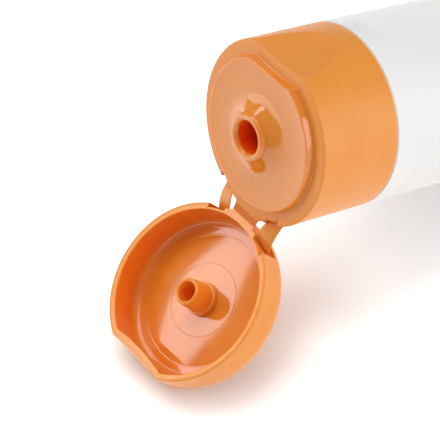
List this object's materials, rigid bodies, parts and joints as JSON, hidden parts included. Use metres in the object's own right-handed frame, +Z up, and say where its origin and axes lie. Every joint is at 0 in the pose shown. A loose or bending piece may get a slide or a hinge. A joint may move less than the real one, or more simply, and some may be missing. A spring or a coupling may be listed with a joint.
{
  "type": "squeeze tube with a flip-top cap",
  "caption": "Squeeze tube for sunscreen, flat at the tail, with a butterfly-hinged flip-top cap whose open lid props it up.",
  "frame": {"origin": "centre of the box's underside, on the floor that the tube lies on", "axes": "+X from the cap to the flat tail, along the tube as seen from above; +Y across, towards the left hinge wing; +Z up. The tube leans 21.4 degrees, its nozzle up, propped on the open lid."},
  "size_m": [0.1408, 0.055, 0.0562],
  "materials": {
    "sleeve": "satin",
    "head": "satin",
    "lotion": "matte",
    "cap": "satin",
    "film": "satin"
  },
  "bodies": {
    "tube": {"tube_sleeve": "sleeve", "tube_head": "head", "lotion_fill": "lotion", "cap_base": "cap", "hinge_strip": "film"},
    "lid": {"lid": "cap", "sealing_pin": "cap"},
    "wing_left": {"hinge_wing_left": "cap"},
    "wing_right": {"hinge_wing_right": "cap"}
  },
  "joints": [
    {"name": "lid_hinge", "type": "hinge", "parent": "tube", "child": "lid", "pos_m": [-0.04121, 0, 0.02447], "axis": [0, -1, 0], "range_deg": [-142.6, 0]},
    {"name": "wing_left_fold", "type": "hinge", "parent": "tube", "child": "wing_left", "pos_m": [-0.03755, 0.00707, 0.02568], "axis": [0, -1, 0], "range_deg": [-66.5, 0.5]},
    {"name": "wing_right_fold", "type": "hinge", "parent": "tube", "child": "wing_right", "pos_m": [-0.03755, -0.00707, 0.02568], "axis": [0, -1, 0], "range_deg": [-66.5, 0.5]}
  ],
  "couplings": [
    {"joint": "wing_left_fold", "follows": "lid_hinge", "ratio": 0.463},
    {"joint": "wing_right_fold", "follows": "lid_hinge", "ratio": 0.463}
  ]
}
